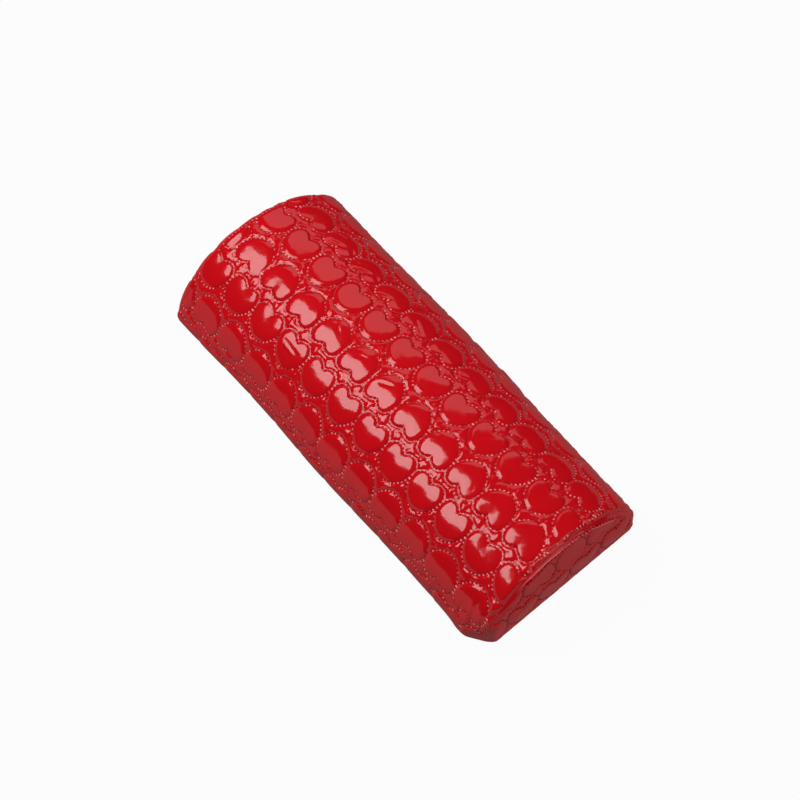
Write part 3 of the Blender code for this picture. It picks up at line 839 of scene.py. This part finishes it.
class Tree:
    """The nodes of a material or of the world, and short ways to add to them."""

    def __init__(self, holder):
        holder.use_nodes = True
        self.nodes = holder.node_tree.nodes
        self.links = holder.node_tree.links

    def node(self, kind, settings, sockets, output=0):
        """Adds a node: its settings first, then the values or links of its sockets."""
        made = self.nodes.new(kind)
        for name, value in settings.items():
            setattr(made, name, value)
        self.fill(made, sockets)
        return Value(self, made.outputs[output])

    def fill(self, made, sockets):
        """Links each socket to a Value, or sets it to a constant."""
        for name, value in sockets.items():
            if isinstance(value, Value):
                self.links.new(value.socket, made.inputs[name])
            else:
                made.inputs[name].default_value = value

    def attribute(self, name):
        """A number that the mesh holds at each point."""
        return self.node("ShaderNodeAttribute", {"attribute_name": name}, {}, "Fac")

    def noise(self, where, scale, detail):
        """Smooth random values about 0.5."""
        sockets = {"Vector": where, "Scale": scale, "Detail": detail}
        return self.node("ShaderNodeTexNoise", {}, sockets, "Fac")

    def step(self, value, low, high):
        """0 below low, 1 above high, smooth between."""
        settings = {"interpolation_type": "SMOOTHSTEP"}
        sockets = {0: value, 1: low, 2: high, 3: 0.0, 4: 1.0}
        return self.node("ShaderNodeMapRange", settings, sockets)

    def blend(self, share, first, second):
        """A colour between two, by share."""
        settings = {"data_type": "RGBA", "blend_type": "MIX"}
        return self.node("ShaderNodeMix", settings, {0: share, 6: first, 7: second}, 2)


# %% [markdown]
# Patent leathercloth is a woven backing under a thick, flowed lacquer: deep colour under a
# clear coat with almost mirror gloss. The coat mirrors the true mesh, so the ripples in its
# gloss were made there. Each stitch pulls a small pit into the cloth. The pits are smaller
# than the grid's cells, so the material makes them: where the stitch line is near and the
# stitch's cosine is high, the coat is thin, a bump dips the red, and colour is painted in.
# On the top sheet it is pale thread colour that also stands for a painted glint of the
# lamps; on the ends it is dark, as painted shade. Near every stitch line the red is painted
# darker, as shade in the groove, and the edge of the ends' turned ridge gets a painted
# highlight.

# %% The patent finish
TOP_RED = (0.52, 0.0026, 0.0070, 1.0)
# Mixed into the red at random in clouds, and near the stitch lines as painted shade
DEEP_RED = (0.40, 0.0018, 0.0052, 1.0)
# Pale thread colour for the top sheet's pits, partly the thread's own and partly a painted glint
THREAD_WITH_PAINTED_GLINT = (0.92, 0.28, 0.30, 1.0)
# Dark thread colour for the ends' pits: painted shade
THREAD_IN_PAINTED_SHADE = (0.20, 0.004, 0.008, 1.0)
# A painted highlight along the edge of the ends' turned ridge
RIDGE_PAINTED_HIGHLIGHT = (0.90, 0.20, 0.22, 1.0)
# Reaches in millimetres from the stitch line, and depths of bump
PIT_START, PIT_REACH, LINE_REACH = 0.3, 0.75, 1.1
PIT_DEPTH, LINE_DEPTH, CLOUD_DEPTH = 0.45 * MM, 0.12 * MM, 0.2 * MM
STITCH_COSINE = 0.7
CLOUD_SCALE, PATCH_SCALE = 55.0, 190.0
PATCH_START, PATCH_FULL = 0.38, 0.62
CLOUD_SHADE, LINE_SHADE, RIDGE_HIGHLIGHT_SHARE = 0.5, 0.4, 0.7
PAINTED_PIT_LEAST = 0.05
CLOTH_ROUGH, CLOUD_ROUGH = 0.26, 0.08
COAT, PIT_DULL, LINE_DULL = 0.112, 0.85, 0.35
# Keeps the division safe on the lining, where cosine and sine are both 0
SQUARE_LEAST = 0.0001
GLOSS = {"Coat Roughness": 0.10, "Coat IOR": 2.5, "Specular IOR Level": 0.0}


def patent(name, painted_pit_colour):
    """Red lacquer under a clear coat. The pits along the stitches take the given colour, with
    painted light in it, and painted shade darkens the red near the stitch lines.
    """
    made = bpy.data.materials.new(name)
    tree = Tree(made)
    where = tree.node("ShaderNodeTexCoord", {}, {}, "Object")
    to_line = tree.attribute("seam_mm")
    cos, sin = tree.attribute("stitch_cos"), tree.attribute("stitch_sin")
    size = (cos * cos + sin * sin + SQUARE_LEAST).math("SQRT")
    on_stitch = tree.step(cos / size, 0.0, STITCH_COSINE)
    pits = on_stitch * (1.0 - tree.step(to_line, PIT_START, PIT_REACH))
    line = 1.0 - tree.step(to_line, 0.0, LINE_REACH)
    cloudy = tree.noise(where, CLOUD_SCALE, 2.0)
    patchy = tree.step(tree.noise(where, PATCH_SCALE, 1.0), PATCH_START, PATCH_FULL)
    height = cloudy * CLOUD_DEPTH - pits * PIT_DEPTH - line * LINE_DEPTH
    sockets = {"Strength": 1.0, "Distance": 1.0, "Height": height}
    # The red darkens at random in clouds, and near the stitch lines as painted shade in the grooves
    cloth = tree.blend((1.0 - cloudy) * CLOUD_SHADE + line * LINE_SHADE, TOP_RED, DEEP_RED)
    # The edge of the ends' ridge is painted pale, as a painted highlight
    cloth = tree.blend(tree.attribute("ridge_highlight") * RIDGE_HIGHLIGHT_SHARE, cloth, RIDGE_PAINTED_HIGHLIGHT)
    # The pits are painted in the given colour: on the top sheet pale, partly thread colour and partly
    # a painted glint; on the ends dark, as painted shade
    shown = pits * (PAINTED_PIT_LEAST + patchy * (1.0 - PAINTED_PIT_LEAST))
    looks = {
        "Base Color": tree.blend(shown, cloth, painted_pit_colour),
        "Roughness": CLOTH_ROUGH + cloudy * CLOUD_ROUGH,
        "Normal": tree.node("ShaderNodeBump", {}, sockets, "Normal"),
        "Coat Weight": (1.0 - pits * PIT_DULL) * (1.0 - line * LINE_DULL) * COAT,
    }
    tree.fill(tree.nodes["Principled BSDF"], {**looks, **GLOSS})
    return made


def dress(piece, finish, node):
    """Gives the piece its finish, hangs it from the root, and hides the solid it replaces."""
    piece.data.materials.append(finish)
    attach(piece, "root")
    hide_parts(node)


# The top sheet's pits get pale thread colour with a painted glint, the ends' a dark painted shade
quilted = patent("quilted_patent_red", THREAD_WITH_PAINTED_GLINT)
end_quilted = patent("end_patent_red", THREAD_IN_PAINTED_SHADE)
plain = patent("plain_patent_red", THREAD_IN_PAINTED_SHADE)
dress(top_cover, quilted, "top_panel")
dress(near_end_cover, end_quilted, "near_end_panel")
dress(far_end_cover, end_quilted, "far_end_panel")
dress(base_cover, plain, "base_panel")
print("patent finishes", [finish.name for finish in (quilted, end_quilted, plain)])

# %% [markdown]
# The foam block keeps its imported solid, because the cover hides it. It still gets a
# finish: cream foam with open cells, for anyone who takes the cover off.

# %% The foam's finish
FOAM_CREAM = (0.80, 0.74, 0.58, 1.0)
FOAM_SHADE = (0.55, 0.48, 0.33, 1.0)
FOAM_ROUGH = 0.9
CELL_SCALE = 900.0
CELL_DEPTH = 0.3 * MM


def foam():
    """Cells darken and dip towards their walls."""
    made = bpy.data.materials.new("cream_foam")
    tree = Tree(made)
    where = tree.node("ShaderNodeTexCoord", {}, {}, "Object")
    cells = tree.node("ShaderNodeTexVoronoi", {}, {"Vector": where, "Scale": CELL_SCALE}, "Distance")
    colour = tree.blend(cells, FOAM_CREAM, FOAM_SHADE)
    bump = tree.node("ShaderNodeBump", {}, {"Distance": 1.0, "Height": cells * CELL_DEPTH}, "Normal")
    looks = {"Base Color": colour, "Roughness": FOAM_ROUGH, "Normal": bump}
    tree.fill(tree.nodes["Principled BSDF"], looks)
    return made


foam_finish = foam()
for foam_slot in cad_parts["foam_core"].material_slots:
    foam_slot.material = foam_finish

# %% [markdown]
# The studio: a white table, a large soft lamp over the left side, which makes the bright
# patches on the hearts, and two weaker ones beyond the far end and the near end. The table
# glows white to the camera and to mirror-like surfaces, but lights the rest only as a matt
# grey one would. A small share of that grey shows to the camera too, and carries the rest's
# faint shadow.

# %% The table and the world
RAYS = ("Camera", "Glossy", "Transmission")
WHITE = (1.0, 1.0, 1.0, 1.0)
TABLE_HALF = 20.0
TABLE_GREY = (0.30, 0.30, 0.30, 1.0)
TABLE_GLOW = 0.96
WORLD_LEVEL = 0.07


def seen_directly(tree):
    """1 for rays from the camera, a mirror or glass, and 0 for the rays that light the rest."""
    seen = [tree.node("ShaderNodeLightPath", {}, {}, f"Is {ray} Ray") for ray in RAYS]
    return seen[0].math("MAXIMUM", seen[1]).math("MAXIMUM", seen[2])


def make_table():
    """One large square under the rest, grey and matt mixed with a white glow."""
    mesh = bpy.data.meshes.new("table")
    signs = [(-1, -1), (1, -1), (1, 1), (-1, 1)]
    mesh.from_pydata([(x * TABLE_HALF, y * TABLE_HALF, 0.0) for x, y in signs], [], [(0, 1, 2, 3)])
    table = bpy.data.objects.new("table", mesh)
    bpy.context.scene.collection.objects.link(table)
    made = bpy.data.materials.new("white_table")
    tree = Tree(made)
    tree.nodes.remove(tree.nodes["Principled BSDF"])
    matt = tree.node("ShaderNodeBsdfDiffuse", {}, {"Color": TABLE_GREY})
    glow = tree.node("ShaderNodeEmission", {}, {"Color": WHITE, "Strength": 1.0})
    sockets = {0: seen_directly(tree) * TABLE_GLOW, 1: matt, 2: glow}
    both = tree.node("ShaderNodeMixShader", {}, sockets)
    tree.links.new(both.socket, tree.nodes["Material Output"].inputs["Surface"])
    mesh.materials.append(made)


def make_world():
    """A weak, even white light from all round."""
    world = bpy.data.worlds.new("studio")
    bpy.context.scene.world = world
    tree = Tree(world)
    tree.fill(tree.nodes["Background"], {"Color": WHITE, "Strength": WORLD_LEVEL})


make_table()
make_world()
print("table and world made")

# %% [markdown]
# The camera's angle and place were fitted to the photograph. A lamp or camera looks along
# its own -Z, so each is stood by three axes: right, up and back.

# %% Lamps and camera
# Each lamp's name, the direction to it, its distance and two sizes in metres, its radiance
LAMPS = [
    ("key_light", (-0.38, -0.38, 0.85), 1.17, (0.48, 0.76), 10.6),
    ("side_light", (-0.50, 0.55, 0.67), 1.50, (0.54, 1.10), 1.9),
    ("fill_light", (0.75, 0.25, 0.60), 1.40, (1.30, 1.30), 1.8),
]
CAMERA_AZIMUTH, CAMERA_ELEVATION = 51.794, 58.801
CAMERA_DISTANCE = 1.534
CAMERA_LENS, CAMERA_SENSOR = 110.4, 36.0
CAMERA_SHIFT = (-0.00355, -0.00259)
CAMERA_ASIDE = (0.25 * MM, 0.8 * MM)


def stand(name, data, axes, place):
    """A lamp or camera at its place, turned to the axes right, up and back."""
    matrix = np.eye(4)
    matrix[:3] = np.stack([*axes, place], -1)
    stood = bpy.data.objects.new(name, data)
    stood.matrix_world = Matrix(matrix.tolist())
    bpy.context.scene.collection.objects.link(stood)
    return stood


def panel_light(name, toward, distance, size, radiance):
    """A rectangular lamp that faces the rest. Its power is radiance times pi times its area."""
    lamp = bpy.data.lights.new(name, "AREA")
    lamp.shape = "RECTANGLE"
    lamp.size, lamp.size_y = size
    lamp.energy = radiance * math.pi * size[0] * size[1]
    back = unit(np.array(toward))
    right = unit(np.cross([0.0, 1.0, 0.0], back))
    stand(name, lamp, [right, np.cross(back, right), back], back * distance)


def make_camera():
    """Looks at the middle of the rest from the right of its near end, well above it."""
    azimuth, elevation = math.radians(CAMERA_AZIMUTH), math.radians(CAMERA_ELEVATION)
    level = np.array([math.sin(azimuth), -math.cos(azimuth), 0.0]) * math.cos(elevation)
    back = level + (0.0, 0.0, math.sin(elevation))
    right = np.array([math.cos(azimuth), math.sin(azimuth), 0.0])
    aim = np.array([-CAMERA_ASIDE[0], -CAMERA_ASIDE[1], HEIGHT / 2]) + SHIFT
    lens = bpy.data.cameras.new("camera")
    lens.sensor_width = CAMERA_SENSOR
    lens.lens = CAMERA_LENS
    lens.shift_x, lens.shift_y = CAMERA_SHIFT
    place = aim + CAMERA_DISTANCE * back
    bpy.context.scene.camera = stand("camera", lens, [right, np.cross(back, right), back], place)


for lamp_values in LAMPS:
    panel_light(*lamp_values)
make_camera()
bpy.context.scene.view_settings.view_transform = "Standard"
print("lamps", [lamp_values[0] for lamp_values in LAMPS])
